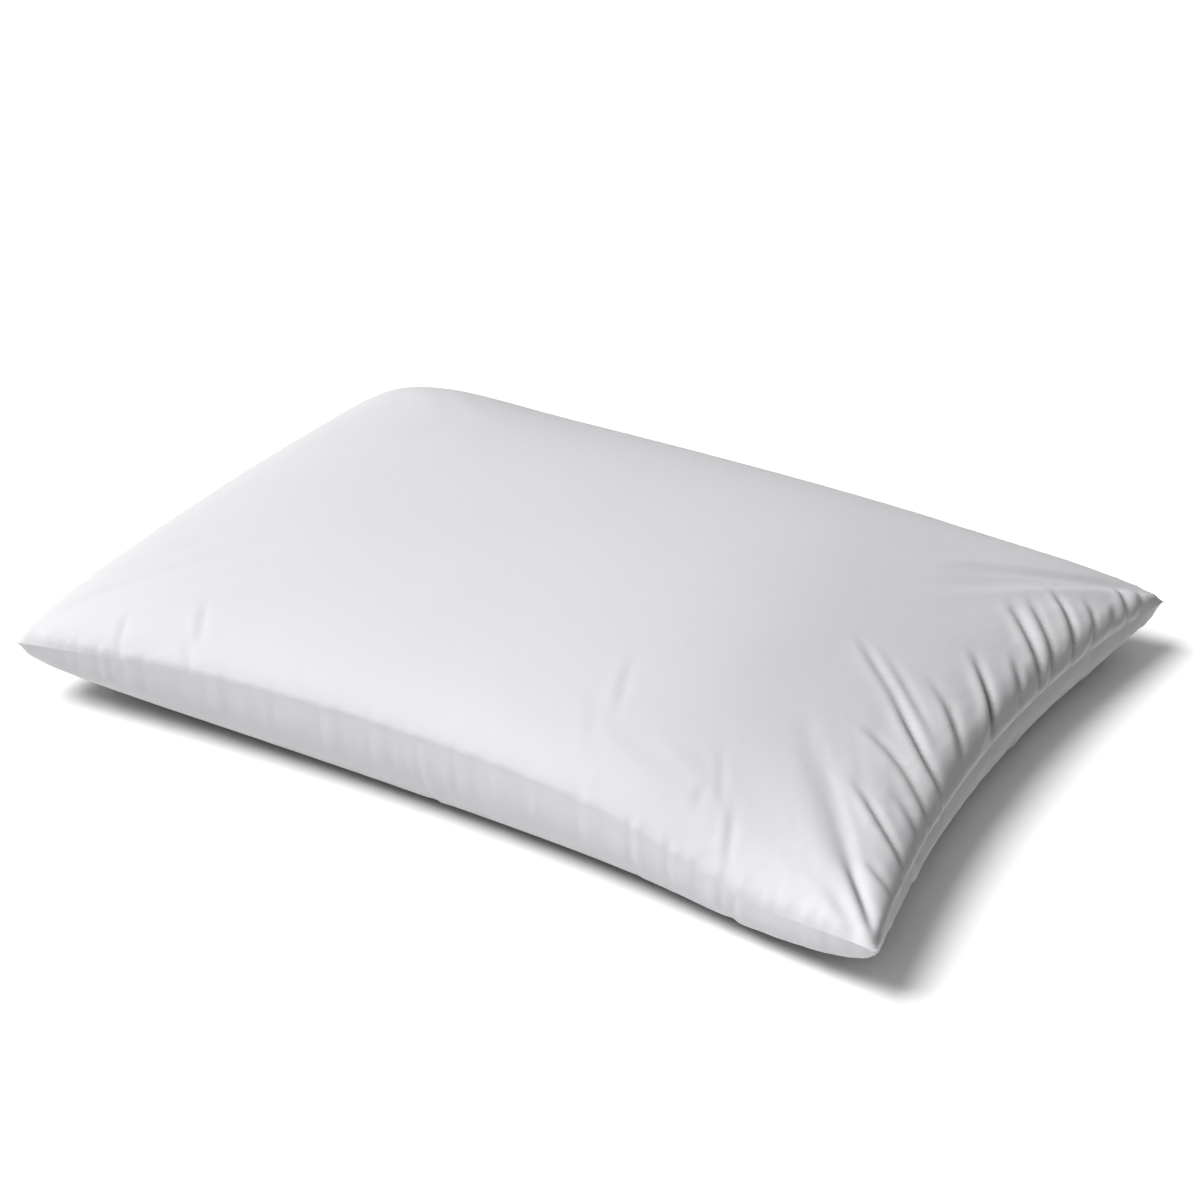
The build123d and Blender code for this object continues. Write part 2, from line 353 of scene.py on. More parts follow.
def crease_height(p, q, creases, width=CREASE_WIDTH):
    """How far the creases lift the cloth at (p, q), in metres; a valley is negative."""
    height = np.zeros(len(p))
    for depth, *marks in creases:
        path = rounded_path(marks)
        steps = np.linalg.norm(np.diff(path, axis=0), axis=1)
        gone = np.concatenate([[0], np.cumsum(steps)]) / steps.sum()
        best = np.full(len(p), 1.0)
        across = np.zeros(len(p))
        along = np.zeros(len(p))
        for i, step in enumerate(steps):
            run = (path[i + 1] - path[i]) / step
            dp, dq = p - path[i, 0], q - path[i, 1]
            t = np.clip(dp * run[0] + dq * run[1], 0, step)
            off_p, off_q = dp - t * run[0], dq - t * run[1]
            far = np.hypot(off_p, off_q)
            closer = far < best
            best = np.where(closer, far, best)
            across = np.where(closer, np.sign(dp * run[1] - dq * run[0]) * far, across)
            along = np.where(closer, gone[i] + (gone[i + 1] - gone[i]) * t / step, along)
        starts_at_seam, ends_at_seam = np.minimum(*to_seams(*path[[0, -1]].T)) < MEETS_SEAM
        taper = np.ones(len(p))
        taper *= 1 if starts_at_seam else np.clip(along / TAPER_SHARE, 0, 1)
        taper *= 1 if ends_at_seam else np.clip((1 - along) / TAPER_SHARE, 0, 1)
        taper = taper * taper * (3 - 2 * taper)
        valley = spot(across, 0, width)
        ridge = spot(across, RIDGE_OFF * width, RIDGE_WIDTH * width)
        height += depth / 1000 * taper * (RIDGE_HEIGHT * ridge - valley)
    beside = np.minimum(*to_seams(p, q))
    return height * (SEAM_SHARE + (1 - SEAM_SHARE) * np.clip(beside / SEAM_FADE, 0, 1))


def creases_on(p, q, side, width=CREASE_WIDTH):
    """The creases of whichever panel each point belongs to."""
    above = crease_height(p, q, all_upper, width)
    below = crease_height(p, q, all_lower, width)
    return np.where(side > 0, above, np.where(side < 0, below, 0))


deepest = creases_on(P, Q, SIDE).min()
print("deepest crease on the grid, mm:", round(1000 * deepest, 2))


# %% [markdown]
# ## Letting the cloth settle
# Cloth simulation is the quickest way to folds that look right, because it knows that cloth bends
# easily but hardly stretches. The solver needs the size that the cloth wants to be, which is given
# as a second shape key: the same casing, but longer beside the seams. The seam itself is pinned, a
# light pressure stands for the fill, and gravity is off, since the fill carries the cloth. The
# creases are drawn in first, a little wider than they will be, so that the cloth buckles there.
# SPARE is how much longer the cloth is than its place, beside each seam.

# %% Settle the casing
RIGHT_SPARE, LEFT_SPARE, FRONT_SPARE, BACK_SPARE = 0.060, 0.022, 0.014, 0.024
SPARE_REACH, HELD_REACH = 0.075, 0.012
EASE = 1.002
SEED_SHARE, SEED_WIDTH = 0.8, 1.3 * CREASE_WIDTH
UNEVEN, UNEVEN_REACH = 0.0002, 0.1
FRAMES = 20


def spare(distance, amount):
    """How much longer the cloth is than its place; right beside the seam it is held to half."""
    return amount * spot(distance, 0, SPARE_REACH) * (1 - 0.5 * spot(distance, 0, HELD_REACH))


def read_normals(mesh):
    """The mesh's point normals as an array of rows."""
    flat = np.empty(len(mesh.vertices) * 3, dtype=np.float32)
    mesh.vertex_normals.foreach_get("vector", flat)
    return flat.reshape(-1, 3).astype(np.float64)


def settle(mesh, start, side):
    """Runs the cloth solver from start and returns where the points come to rest."""
    to_end, to_flank = to_seams(P, Q)
    wanted = start.copy()
    wanted[:, 0] *= EASE + spare(to_flank, np.where(Q < 0, FRONT_SPARE, BACK_SPARE))
    wanted[:, 1] *= EASE + spare(to_end, np.where(P > 0, RIGHT_SPARE, LEFT_SPARE))
    uneven = np.random.default_rng(7).normal(0, UNEVEN, len(start))
    uneven *= np.clip(1.2 - np.minimum(to_end, to_flank) / UNEVEN_REACH, 0, 1) * (side != 0)
    write_points(mesh, start)
    lift = uneven + SEED_SHARE * creases_on(P, Q, side, SEED_WIDTH)
    write_points(mesh, start + lift[:, None] * read_normals(mesh))
    obj = bpy.data.objects.new("settling", mesh)
    bpy.context.scene.collection.objects.link(obj)
    obj.shape_key_add(name="start")
    key = obj.shape_key_add(name="wanted")
    key.data.foreach_set("co", wanted.astype(np.float32).ravel())
    seam_group = obj.vertex_groups.new(name="seam")
    seam_group.add([int(i) for i in np.nonzero(side == 0)[0]], 1.0, "REPLACE")
    solver = obj.modifiers.new("cloth", "CLOTH")
    cloth_settings = solver.settings
    cloth_settings.quality = 5
    cloth_settings.mass = 0.3
    cloth_settings.tension_stiffness = 15
    cloth_settings.compression_stiffness = 15
    cloth_settings.shear_stiffness = 5
    cloth_settings.bending_stiffness = 0.05
    cloth_settings.use_pressure = True
    cloth_settings.uniform_pressure_force = 1.5
    cloth_settings.effector_weights.gravity = 0
    cloth_settings.rest_shape_key = key
    cloth_settings.vertex_group_mass = "seam"
    cloth_settings.pin_stiffness = 5
    solver.collision_settings.use_collision = False
    solver.collision_settings.use_self_collision = False
    solver.point_cache.frame_start = 1
    solver.point_cache.frame_end = FRAMES
    for number in range(1, FRAMES + 1):
        bpy.context.scene.frame_set(number)
    settled = obj.evaluated_get(bpy.context.evaluated_depsgraph_get()).to_mesh()
    result = read_points(settled)
    bpy.context.scene.frame_set(1)
    bpy.data.objects.remove(obj)
    return result


settled = settle(casing_mesh.copy(), full, SIDE)
most_moved = np.linalg.norm(settled - full, axis=1).max()
print("moved by the solver, mm:", round(1000 * most_moved, 2))

# %% [markdown]
# ## Keeping only the folds
# The solver does two things at once. It swells the whole casing, which changes slowly from place to
# place, and it folds the cloth beside the seams, which changes quickly. Blurring the movement over
# about 40 mm leaves the swelling, and taking that away leaves the folds. They are kept in full at
# the right end, and are calmer towards the left and in the round back left corner.

# %% Folds without the swelling
SWELL_WIDTH = 0.040
FOLD_GAIN = 0.9
CALM_CORNER, CALM_SIZE = (-0.31, 0.22), (0.15, 0.14)
CALM_SHARE, LIVELY_FROM, LIVELY_OVER = 0.35, 0.10, 0.13


def across_grid(values, side):
    """One panel's values as rows and columns of its grid; the seam belongs to both panels."""
    mine = np.nonzero((SIDE == side) | (SIDE == 0))[0]
    order = mine[np.lexsort((P[mine], Q[mine]))]
    return order, values[order].reshape(len(marks_y), len(marks_x), -1)


def blur(grid, marks, width, axis):
    """Weighted means along one direction of the grid, over about width metres."""
    weight = spot(marks[:, None], marks[None, :], width) * np.gradient(marks)[None, :]
    weight /= weight.sum(axis=1, keepdims=True)
    return np.moveaxis(np.tensordot(weight, grid, axes=(1, axis)), 0, axis)


def keep_folds(start, settled):
    """The solver's folds without its swelling, calmer at the back left corner and the left."""
    result = start.copy()
    for side in (1, -1):
        order, moved = across_grid(settled - start, side)
        slow = blur(blur(moved, marks_y, SWELL_WIDTH, 0), marks_x, SWELL_WIDTH, 1)
        kept = FOLD_GAIN * (moved - slow)
        calm_x = spot(marks_x, CALM_CORNER[0], CALM_SIZE[0])[None, :]
        calm_y = spot(marks_y, CALM_CORNER[1], CALM_SIZE[1])[:, None]
        to_right = np.clip((marks_x[None, :] - LIVELY_FROM) / LIVELY_OVER, 0, 1)
        share = CALM_SHARE + (1 - CALM_SHARE) * to_right
        kept *= (share * (1 - calm_x * calm_y))[:, :, None]
        kept[[0, -1]] = 0
        kept[:, [0, -1]] = 0
        result[order] += kept.reshape(-1, 3)
    return result


rest = keep_folds(full, settled)
print("folds, mm:", round(1000 * np.linalg.norm(rest - full, axis=1).max(), 2))

# %% [markdown]
# ## Flat where it lies
# The form so far is round underneath and reaches below the floor. A pillow's own weight presses it
# flat there. A hard cut would leave a sharp edge round the flat part, so the heights go through a
# softened ramp, which leaves high points alone and brings low ones smoothly to the floor.

# %% Press the underside onto the floor
FLOOR_SOFTNESS = 0.003


def press_flat(points):
    """The points with those below the floor brought up to it, with a soft edge."""
    z = points[:, 2]
    soft = FLOOR_SOFTNESS * np.log1p(np.exp(np.clip(z / FLOOR_SOFTNESS, -40, 40)))
    pressed = points.copy()
    pressed[:, 2] = np.where(z > 10 * FLOOR_SOFTNESS, z, soft)
    return pressed


rest = press_flat(rest)
print("lowest point, mm:", round(1000 * rest[:, 2].min(), 2))

# %% [markdown]
# ## Fine detail
# Subdividing the settled casing once halves its cells to about 2 mm, which is fine enough for the
# sharp bottoms of the creases and for the puckers beside the stitches. The rim keeps a crease
# weight of 1, so that the knife edge stays sharp. Then each point moves a little along its normal:
# down into a crease, up in the soft roll beside the seam, and in at the seam itself, where the
# stitches pull.

# %% The fine casing
DETAIL_SHARE = 0.75
ROLL_HEIGHT, ROLL_FROM_SEAM, ROLL_WIDTH = 0.0004, 0.0055, 0.0040
GROOVE_DEPTH, GROOVE_WIDTH = 0.0002, 0.0020
PUCKER_SHARE, END_PUCKERS, SIDE_PUCKERS = 0.8, 0.016, 0.019
WAVE_MIX = (0.55, 0.8, 1.0, 1.37, 1.9)


def subdivided(mesh):
    """A copy of the mesh after one level of subdivision."""
    obj = bpy.data.objects.new("subdividing", mesh)
    bpy.context.scene.collection.objects.link(obj)
    smoother = obj.modifiers.new("subdivision", "SUBSURF")
    smoother.levels = smoother.render_levels = 1
    smoother.uv_smooth = "NONE"
    ready = obj.evaluated_get(bpy.context.evaluated_depsgraph_get())
    fine = bpy.data.meshes.new_from_object(ready)
    bpy.data.objects.remove(obj)
    return fine


def flat_places(mesh):
    """Each point's place (p, q) on the flat cloth, and its side, from the pattern and the faces."""
    corners = np.empty(len(mesh.loops), dtype=np.int32)
    mesh.loops.foreach_get("vertex_index", corners)
    uv = np.empty(2 * len(mesh.loops), dtype=np.float32)
    mesh.uv_layers["pattern"].data.foreach_get("uv", uv)
    place = np.zeros((len(mesh.vertices), 2))
    place[corners] = uv.reshape(-1, 2)
    panel = np.empty(len(mesh.polygons), dtype=np.int32)
    mesh.polygons.foreach_get("material_index", panel)
    side = np.zeros(len(mesh.vertices))
    side[corners] = np.repeat(np.where(panel == UPPER, 1, -1), 4)
    p, q = place.T
    side[np.minimum(*to_seams(p, q)) < ON_RIM] = 0
    return p, q, side


def waves(along, seed, length):
    """Gentle seeded ups and downs between -1 and 1 along a seam, about length metres apart."""
    rng = np.random.default_rng(seed)
    total = np.zeros(len(along))
    for factor in WAVE_MIX:
        total += np.sin(2 * math.pi * along * factor / length + rng.uniform(0, 6.3))
    return np.clip(total / 2.6, -1, 1)


def seam_detail(p, q):
    """The puckered roll beside the seam and the groove in the seam, in metres along the normal."""
    to_end, to_flank = to_seams(p, q)
    beside = np.minimum(to_end, to_flank)
    end_pucker = waves(q + np.sign(p), 11, END_PUCKERS)
    side_pucker = waves(p + 3 * np.sign(q), 12, SIDE_PUCKERS)
    pucker = np.where(to_end < to_flank, end_pucker, side_pucker)
    roll = ROLL_HEIGHT * spot(beside, ROLL_FROM_SEAM, ROLL_WIDTH) * (1 + PUCKER_SHARE * pucker)
    return roll - GROOVE_DEPTH * spot(beside, 0, GROOVE_WIDTH)


write_points(casing_mesh, rest)
fine_mesh = subdivided(casing_mesh)
fine_p, fine_q, fine_side = flat_places(fine_mesh)
lift = DETAIL_SHARE * creases_on(fine_p, fine_q, fine_side) + seam_detail(fine_p, fine_q)
fine_points = read_points(fine_mesh) + lift[:, None] * read_normals(fine_mesh)
fine_points[:, 2] = np.maximum(fine_points[:, 2], 0)
write_points(fine_mesh, fine_points)
print("fine casing:", len(fine_points), "points,", len(fine_mesh.polygons), "faces")

# %% [markdown]
# ## Two panels
# The real casing is two cut panels. Each is sewn 10 mm inside its raw edge, and turned right side
# out, so the 10 mm allowances lie inside. At the left end the casing was filled through an opening
# that was then closed from outside, so there the two folded edges stand out as a flat lip. Each
# panel is the fine casing without the faces of the other. `extrude_edge_only` draws the lip out
# and turns the allowance in, and the Solidify modifier gives the cloth its thickness on the inside,
# so the shape that was settled stays the outer one. The small lifts that keep the two layers apart
# are given in thicknesses of the cloth.

# %% Cut the casing into its panels
ALLOWANCE = 0.010
LIP = 0.0055
LIP_DROOP = 0.0025
LIP_RUN_OUT = 0.012
LIP_LIFT, LIP_BACK, ALLOWANCE_LIFT = 2.2, 1.7, 0.6
CLOTH = 0.00035
CLOSING_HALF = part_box("closing_needle_thread")[1][1]
LIP_HALF = CLOSING_HALF + 0.010
LEFT_END = -0.9 * (HALF_LENGTH - END_PULL_LEFT)
PATTERN_X, PATTERN_Y = 1.03, 1.05


def inside_seam(points, inset):
    """Points of the seam moved inset metres towards the pillow's middle; outwards if negative."""
    moved = np.array(points, dtype=float)
    moved[..., 0] *= 1 - inset / HALF_LENGTH
    moved[..., 1] *= 1 - inset / HALF_WIDTH
    return moved


def by_the_closing(v):
    """Whether a point of the rim is on the lip's part of the left end."""
    return v.co.x < LEFT_END and abs(v.co.y) < LIP_HALF


def lip_depth(y):
    """How far the lip stands out at y; it runs out into the seam at both ends."""
    return LIP * math.sqrt(min(1.0, max(0.02, (LIP_HALF - abs(y)) / LIP_RUN_OUT)))


def draw_lip(bm, edges, up, pattern):
    """Extrudes the closing's edges outwards into the lip, which droops a little."""
    new = bmesh.ops.extrude_edge_only(bm, edges=edges)["geom"]
    verts = [g for g in new if isinstance(g, bmesh.types.BMVert)]
    for v in verts:
        depth = lip_depth(v.co.y)
        drop = (up * LIP_LIFT * CLOTH - LIP_DROOP) * depth / LIP
        v.co = Vector(inside_seam(v.co, -depth)) + Vector((0, 0, drop))
    for face in (g for g in new if isinstance(g, bmesh.types.BMFace)):
        for loop in face.loops:
            loop[pattern].uv = (loop.vert.co.x * PATTERN_X, loop.vert.co.y * PATTERN_Y)


def panel_mesh(name, panel):
    """One panel, with its closing lip and its turned-in allowance."""
    bm = bmesh.new()
    bm.from_mesh(fine_mesh)
    bmesh.ops.delete(bm, geom=[f for f in bm.faces if f.material_index != panel], context="FACES")
    pattern = bm.loops.layers.uv["pattern"]
    up = 1 if panel == UPPER else -1
    for edge in bm.edges:
        edge.smooth = not edge.is_boundary
    rim = [e for e in bm.edges if e.is_boundary]
    draw_lip(bm, [e for e in rim if all(map(by_the_closing, e.verts))], up, pattern)
    rim = [e for e in bm.edges if e.is_boundary]
    new = bmesh.ops.extrude_edge_only(bm, edges=rim)["geom"]
    for v in (g for g in new if isinstance(g, bmesh.types.BMVert)):
        depth = lip_depth(v.co.y) if by_the_closing(v) else 0
        back = (LIP_DROOP - up * LIP_BACK * CLOTH) * depth / LIP
        back_up = up * ALLOWANCE_LIFT * CLOTH + back
        v.co = Vector(inside_seam(v.co, ALLOWANCE + depth)) + Vector((0, 0, back_up))
    for face in (g for g in new if isinstance(g, bmesh.types.BMFace)):
        for loop in face.loops:
            loop[pattern].uv = (loop.vert.co.x * PATTERN_X, loop.vert.co.y * PATTERN_Y)
    bmesh.ops.recalc_face_normals(bm, faces=bm.faces[:])
    middle = min(bm.faces, key=lambda f: f.calc_center_median().xy.length)
    if middle.normal.z * up < 0:
        bmesh.ops.reverse_faces(bm, faces=bm.faces[:])
    for face in bm.faces:
        face.smooth = True
        face.material_index = 0
    mesh = bpy.data.meshes.new(name)
    bm.to_mesh(mesh)
    bm.free()
    return mesh


def add_piece(name, mesh, node):
    """Puts a finished mesh in the scene, on the pillow's body, in place of its CAD node."""
    obj = bpy.data.objects.new(name, mesh)
    bpy.context.scene.collection.objects.link(obj)
    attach(obj, BODY)
    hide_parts(node)
    print(name + ":", len(mesh.vertices), "points,", len(mesh.polygons), "faces")
    return obj


upper_mesh = panel_mesh("ticking_upper", UPPER)
lower_mesh = panel_mesh("ticking_lower", LOWER)
upper = add_piece("ticking_upper", upper_mesh, "upper_panel")
lower = add_piece("ticking_lower", lower_mesh, "lower_panel")
for panel in (upper, lower):
    wall = panel.modifiers.new("cloth thickness", "SOLIDIFY")
    wall.thickness = CLOTH
    wall.offset = -1

# %% [markdown]
# ## The fill
# The fill is blown fibre. It can't be seen, but it is what gives the pillow its shape, so it is a
# piece of its own: the same full form, drawn in far enough to leave room for the allowances, with
# the tufts and hollows that loose fibre has. The tufts come from Blender's own noise, one value to
# each point, and they only push inwards, so the fill can't come through the cloth.

# %% The fibre fill
FILL_INSET, FILL_SQUASH = 0.0135, 0.955
TUFT_DEPTH, TUFT_SIZE, TUFT_CONTRAST = 0.0016, 0.018, 0.9


def fill_mesh():
    """The full form without creases, smaller and tufted."""
    mesh = casing_mesh.copy()
    mesh.name = "fibre_fill"
    points = inside_seam(press_flat(full), FILL_INSET)
    points[:, 2] = SEAM_Z + (points[:, 2] - SEAM_Z) * FILL_SQUASH
    write_points(mesh, points)
    normals = read_normals(mesh)
    tufts = np.array([noise.noise(Vector(point) / TUFT_SIZE) for point in points])
    inwards = TUFT_DEPTH * np.clip(0.5 - TUFT_CONTRAST * tufts, 0, 1)
    inwards[SIDE == 0] = 0
    write_points(mesh, points - inwards[:, None] * normals)
    mesh.shade_smooth()
    return mesh


fill = add_piece("fill_of_fibre", fill_mesh(), "fibre_fill")

# %% [markdown]
# ## The threads
# The seam is a lockstitch: a needle thread lies on the upper allowance, a bobbin thread under the
# lower one, and both dip into the same holes. The raw edges are bound together by an overlock
# thread, which winds round them. Each is one long tube, and the quickest way to a long tube is a
# curve with a round section. It is turned into a mesh straight away, so that the piece is a plain
# mesh like the others.

# %% Threads along the seam
THREAD_RADIUS = 0.00022
STITCH = 0.0030
STITCH_INSET = 0.0022
DIPS = (0.00022, 0.0, -0.00004, 0.0)
STITCH_LIFT = 2.2 * CLOTH + THREAD_RADIUS
LOOP_POINTS = 8
LOOP_FROM_SEAM, LOOP_REACH = ALLOWANCE - 0.0020, 0.0024
LOOP_HEIGHT = 2.4 * CLOTH + THREAD_RADIUS
OVERLOCK_RADIUS = 0.00018


def seam_marks(step):
    """Marks all round the seam, step metres apart, as places on the flat panel."""
    half_l, half_w = CUT_LENGTH / 2, CUT_WIDTH / 2
    tips = np.array([(-half_l, -half_w), (half_l, -half_w), (half_l, half_w), (-half_l, half_w)])
    marks = []
    for start, end in zip(tips, np.roll(tips, -1, axis=0)):
        count = round(math.dist(start, end) / step)
        share = np.arange(count)[:, None] / count
        marks.append(start + share * (end - start))
    return np.concatenate(marks)


def on_seam(marks):
    """Where marks on the flat panel's edge lie on the casing's seam."""
    return casing_points(marks[:, 0], marks[:, 1], np.zeros(len(marks)))


def tube(name, points, radius):
    """A thread along the points and back to the first one, as a mesh."""
    curve = bpy.data.curves.new(name, "CURVE")
    curve.dimensions = "3D"
    curve.bevel_depth = radius
    curve.bevel_resolution = 1
    line = curve.splines.new("POLY")
    line.points.add(len(points) - 1)
    places = np.column_stack([points, np.ones(len(points))])
    line.points.foreach_set("co", places.astype(np.float32).ravel())
    line.use_cyclic_u = True
    holder = bpy.data.objects.new(name, curve)
    bpy.context.scene.collection.objects.link(holder)
    ready = holder.evaluated_get(bpy.context.evaluated_depsgraph_get())
    mesh = bpy.data.meshes.new_from_object(ready)
    bpy.data.objects.remove(holder)
    bpy.data.curves.remove(curve)
    mesh.name = name
    mesh.shade_smooth()
    return mesh


def lockstitch(up):
    """The thread on the upper face of the allowances (up = 1) or under the lower face (-1)."""
    points = inside_seam(on_seam(seam_marks(STITCH / len(DIPS))), STITCH_INSET)
    dips = np.resize(DIPS, len(points))
    points[:, 2] += up * (STITCH_LIFT - dips)
    return points


def overlock():
    """A thread wound round the raw edges of the two allowances."""
    marks = seam_marks(STITCH / LOOP_POINTS)
    turn = 2 * math.pi * np.arange(len(marks)) / LOOP_POINTS
    seam = on_seam(marks)
    middle = inside_seam(seam, LOOP_FROM_SEAM)
    reach = inside_seam(seam, LOOP_FROM_SEAM + LOOP_REACH) - middle
    points = middle + np.cos(turn)[:, None] * reach
    points[:, 2] += LOOP_HEIGHT * np.sin(turn)
    return points


needle_mesh = tube("seam_thread_needle", lockstitch(1), THREAD_RADIUS)
bobbin_mesh = tube("seam_thread_bobbin", lockstitch(-1), THREAD_RADIUS)
edging_mesh = tube("thread_of_overlock", overlock(), OVERLOCK_RADIUS)
needle = add_piece("seam_thread_needle", needle_mesh, "seam_needle_thread")
bobbin = add_piece("seam_thread_bobbin", bobbin_mesh, "seam_bobbin_thread")
edging = add_piece("thread_of_overlock", edging_mesh, "overlock_thread")

# %% [markdown]
# ## The closing stitches
# The opening at the left end is closed with a row of short stitches through the lip, the only
# stitches that show from outside. Each one is a plump little bar that sinks into the cloth at both
# ends. One bar is a `create_uvsphere` drawn out along the seam, with few faces, because it is
# repeated along the whole opening on both faces of the lip.

# %% Closing stitches on the lip
CLOSING_PITCH, CLOSING_LENGTH, CLOSING_OUT = 0.0034, 0.0027, 0.0030
CLOSING_LIFT = 1.55 * CLOTH + 0.0001
BAR_HALF_WIDTH, BAR_HALF_HEIGHT = 0.00032, 0.00026


def left_end_at(y):
    """Where the seam at the left end is, for each y in the array."""
    marks = np.stack([np.full(len(y), -CUT_LENGTH / 2), y * CUT_WIDTH / (2 * HALF_WIDTH)], axis=1)
    return on_seam(marks)


def closing_stitches(name, up):
    """The row of stitches on one face of the lip."""
    count = int(2 * CLOSING_HALF / CLOSING_PITCH)
    centre = CLOSING_PITCH * (np.arange(count) - (count - 1) / 2)
    starts = inside_seam(left_end_at(centre - CLOSING_LENGTH / 2), -CLOSING_OUT)
    ends = inside_seam(left_end_at(centre + CLOSING_LENGTH / 2), -CLOSING_OUT)
    lift = Vector((0, 0, up * CLOSING_LIFT - LIP_DROOP * CLOSING_OUT / LIP))
    bm = bmesh.new()
    for start, end in zip(starts, ends):
        run = Vector(end - start)
        place = Matrix.Translation(Vector((start + end) / 2) + lift)
        turn = run.to_track_quat("Y", "Z").to_matrix().to_4x4()
        size = Matrix.Diagonal((BAR_HALF_WIDTH, run.length / 2, BAR_HALF_HEIGHT, 1))
        bmesh.ops.create_uvsphere(
            bm, u_segments=8, v_segments=6, radius=1, matrix=place @ turn @ size
        )
    for face in bm.faces:
        face.smooth = True
    mesh = bpy.data.meshes.new(name)
    bm.to_mesh(mesh)
    bm.free()
    return mesh


above_mesh = closing_stitches("closing_stitches_above", 1)
below_mesh = closing_stitches("closing_stitches_below", -1)
closing_above = add_piece(
    "closing_stitches_above", above_mesh, "closing_needle_thread"
)
closing_below = add_piece(
    "closing_stitches_below", below_mesh, "closing_bobbin_thread"
)

# %% [markdown]
# ## The care label
# A blank ribbon is folded in half, and its two ends are caught in the seam at the left end, beside
# the closing. It comes straight out, bends down under its own weight and hangs beside the lower
# panel. The ribbon is a grid whose rows are laid along that line, down one layer and back up the
# other, with a slight twist so that it doesn't hang like a board.

# %% The label
label_low, label_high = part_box("care_label")
LABEL_WIDTH = label_high[1] - label_low[1]
LABEL_Y = (label_high[1] + label_low[1]) / 2
LABEL_HELD, LABEL_OUT, LABEL_BEND, LABEL_HANG = 0.006, 0.0025, 0.0045, 0.022
LABEL_ANGLE = math.pi / 2 * 0.94
LABEL_HALF = LABEL_HELD + LABEL_OUT + LABEL_BEND * LABEL_ANGLE + LABEL_HANG
LABEL_ROWS, LABEL_COLUMNS = 56, 14
LAYERS_APART, FOLD_ROUND = 0.0011, 0.0016
CURL_WAVE, CURL_LEAN, LABEL_SPLAY = 0.0012, 0.030, 0.06
RIBBON = 0.00022


def label_line(s, layer):
    """How far out and how far down the ribbon is, s metres from its raw end, on one layer."""
    bend = LABEL_BEND - layer
    straight = LABEL_HELD + LABEL_OUT
    turn = min(max((s - straight) / LABEL_BEND, 0), LABEL_ANGLE)
    tail = max(s - straight - LABEL_BEND * LABEL_ANGLE, 0)
    out = min(s, straight) - LABEL_HELD + bend * math.sin(turn) + tail * math.cos(turn)
    down = layer + bend * (1 - math.cos(turn)) + tail * math.sin(turn)
    return out, down


def label_mesh():
    """The folded ribbon."""
    bm = bmesh.new()
    bmesh.ops.create_grid(bm, x_segments=LABEL_COLUMNS, y_segments=LABEL_ROWS, size=0.5)
    pattern = bm.loops.layers.uv.new("pattern")
    seam, seam_ahead = left_end_at(np.array([LABEL_Y, LABEL_Y + 0.01]))
    slope = (seam_ahead - seam) / (seam_ahead - seam)[1]
    for v in bm.verts:
        across = v.co.x * LABEL_WIDTH
        s = (v.co.y + 0.5) * 2 * LABEL_HALF
        for loop in v.link_loops:
            loop[pattern].uv = (across, s)
        rounding = min(1, abs(s - LABEL_HALF) / FOLD_ROUND) ** 0.5
        layer = LAYERS_APART / 2 * rounding * (1 if s > LABEL_HALF else -1)
        out, down = label_line(min(s, 2 * LABEL_HALF - s), layer)
        hanging = max(0.0, down) / LABEL_HANG
        curl = hanging * (CURL_WAVE * math.sin(110 * across + 0.6) - CURL_LEAN * across)
        x, y, z = seam + slope * across
        v.co = (x - out - curl, y + LABEL_SPLAY * hanging * across, z - down)
    bmesh.ops.recalc_face_normals(bm, faces=bm.faces[:])
    for face in bm.faces:
        face.smooth = True
    mesh = bpy.data.meshes.new("label_ribbon")
    bm.to_mesh(mesh)
    bm.free()
    return mesh


label = add_piece("label_ribbon", label_mesh(), "care_label")
wall = label.modifiers.new("ribbon thickness", "SOLIDIFY")
wall.thickness = RIBBON
wall.offset = 0
print("ribbon:", round(LABEL_WIDTH, 4), "by", round(2 * LABEL_HALF, 4))

# %% [markdown]
# ## What was cut from flat cloth
# Three of the pieces are cloth. A panel is cut 10 mm larger all round than its sewn size, and the
# fill stretches it. The ribbon is cut to twice its folded length, with the part that is held in the
# seam. The threads belong to the cloth they are sewn into.

# %% [markdown]
# ## Cloth with a fine weave
# Pillow ticking is a close plain weave, so fine that from a metre away it only takes the shine off
# the surface. The weave is a node group, because the ribbon uses it too. It is placed by the
# pattern, which is the flat cloth in metres, so the yarns follow the cloth round every fold. Each
# yarn goes over and under, which is a product of two sine waves, and slubs, thicker places in a
# yarn, come from noise that is drawn out along the yarn.

# %% The weave as a node group
def new_node(tree, kind, **settings):
    """Adds a shader node and sets its properties."""
    node = tree.nodes.new(kind)
    for key, value in settings.items():
        setattr(node, key, value)
    return node


def calc(tree, operation, a, b=None):
    """A Math node of two sockets or numbers."""
    node = new_node(tree, "ShaderNodeMath", operation=operation)
    for slot_number, value in enumerate((a, b)):
        if isinstance(value, bpy.types.NodeSocket):
            tree.links.new(value, node.inputs[slot_number])
        elif value is not None:
            node.inputs[slot_number].default_value = value
    return node.outputs[0]


